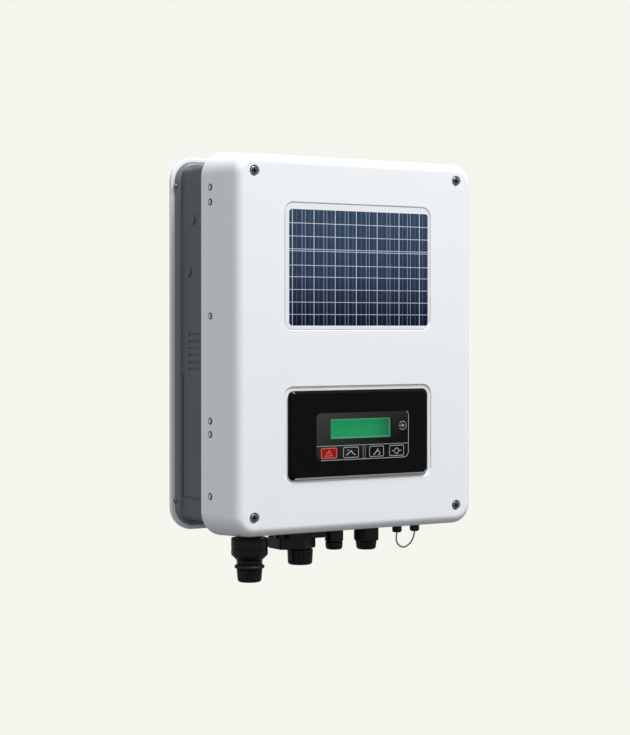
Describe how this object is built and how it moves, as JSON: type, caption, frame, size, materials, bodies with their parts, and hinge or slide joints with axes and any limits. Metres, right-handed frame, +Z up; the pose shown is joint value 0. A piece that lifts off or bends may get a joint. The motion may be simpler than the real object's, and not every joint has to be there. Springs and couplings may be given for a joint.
{
  "type": "string inverter",
  "caption": "Wall-hung solar string inverter: white drafted front cover with a cell-pattern badge and display, dark finned neck, rear panel, and connectors below.",
  "frame": {"origin": "centre of the wall bracket's back face, on the wall", "axes": "+X to the right seen from the front, +Y into the wall, +Z up"},
  "size_m": [0.27, 0.122, 0.3901],
  "materials": {
    "white_paint": "satin powder coat",
    "dark_paint": "satin powder coat",
    "dark_casting": "dark painted die casting",
    "zinc_steel": "zinc plated sheet",
    "wire": "tinned bare wire",
    "dark_screw": "dark plated",
    "black_nylon": "moulded, satin",
    "black_rubber": "matte",
    "badge_print": "printed sheet under a clear coat",
    "gloss_black": "high gloss",
    "clear_pane": "clear",
    "lcd_green": "backlit",
    "lamp_guide": "clear moulding",
    "circuit_board": "solder mask",
    "copper_winding": "enamelled wire",
    "capacitor_sleeve": "shrink sleeve",
    "relay_blue": "moulded",
    "terminal_green": "moulded",
    "ribbon": "flat cable"
  },
  "bodies": {
    "wall_mount": {"wall_bracket": "zinc_steel"},
    "casing": {"rear_frame": "white_paint", "rear_panel": "dark_paint", "hanger_rail": "zinc_steel", "panel_screw_top_left": "dark_screw", "panel_screw_top_right": "dark_screw", "panel_screw_bottom_left": "dark_screw", "panel_screw_bottom_right": "dark_screw", "heatsink": "dark_casting", "chassis_tray": "zinc_steel", "connector_plate": "white_paint", "ac_socket": "black_nylon", "port_base": "black_nylon", "small_gland_body": "black_nylon", "large_gland_body": "black_nylon", "link_bush_left": "black_nylon", "link_bush_right": "black_nylon", "link_wire": "wire", "main_board": "circuit_board", "power_module": "black_nylon", "control_board": "circuit_board", "link_capacitor_1": "capacitor_sleeve", "link_capacitor_2": "capacitor_sleeve", "link_capacitor_3": "capacitor_sleeve", "link_capacitor_4": "capacitor_sleeve", "boost_choke": "copper_winding", "output_choke": "copper_winding", "filter_choke": "copper_winding", "relay_1": "relay_blue", "relay_2": "relay_blue", "transformer": "capacitor_sleeve", "ac_terminal": "terminal_green", "dc_terminal": "terminal_green", "display_board": "circuit_board", "lcd_module": "lcd_green", "status_lamp_1": "lamp_guide", "status_lamp_2": "lamp_guide", "status_lamp_3": "lamp_guide", "status_lamp_4": "lamp_guide", "ribbon_cable": "ribbon", "display_bracket": "zinc_steel", "small_gland_lock_nut": "black_nylon", "large_gland_lock_nut": "black_nylon", "cover_seal": "black_rubber"},
    "cover": {"front_cover": "white_paint", "badge_plate": "badge_print", "display_panel": "gloss_black", "lcd_window": "clear_pane", "cover_screw_top_left": "dark_screw", "cover_screw_top_right": "dark_screw", "cover_screw_bottom_left": "dark_screw", "cover_screw_bottom_right": "dark_screw", "guide_strip_left": "zinc_steel", "guide_strip_right": "zinc_steel"},
    "ac_plug": {"ac_plug_shell": "black_nylon", "ac_plug_seal": "black_rubber"},
    "ac_nut": {"ac_plug_nut": "black_nylon"},
    "port_cap": {"port_cap": "black_nylon"},
    "small_nut": {"small_gland_nut": "black_nylon"},
    "large_nut": {"large_gland_nut": "black_nylon"}
  },
  "joints": [
    {"name": "hang_lift", "type": "slide", "parent": "wall_mount", "child": "casing", "axis": [0, 0, 1], "range_m": [0, 0.02]},
    {"name": "cover_pull", "type": "slide", "parent": "casing", "child": "cover", "axis": [0, -1, 0], "range_m": [0, 0.09]},
    {"name": "ac_unplug", "type": "slide", "parent": "casing", "child": "ac_plug", "axis": [0, 0, -1], "range_m": [0, 0.02]},
    {"name": "ac_nut_turn", "type": "hinge", "parent": "ac_plug", "child": "ac_nut", "pos_m": [-0.1, -0.0905, -0.208], "axis": [0, 0, 1], "range_deg": [0, 540]},
    {"name": "port_cap_turn", "type": "hinge", "parent": "casing", "child": "port_cap", "pos_m": [-0.046, -0.0905, -0.195], "axis": [0, 0, 1], "range_deg": [0, 540]},
    {"name": "small_nut_turn", "type": "hinge", "parent": "casing", "child": "small_nut", "pos_m": [-0.0087, -0.0905, -0.188], "axis": [0, 0, 1], "range_deg": [0, 540]},
    {"name": "large_nut_turn", "type": "hinge", "parent": "casing", "child": "large_nut", "pos_m": [0.0274, -0.0905, -0.189], "axis": [0, 0, 1], "range_deg": [0, 540]}
  ]
}
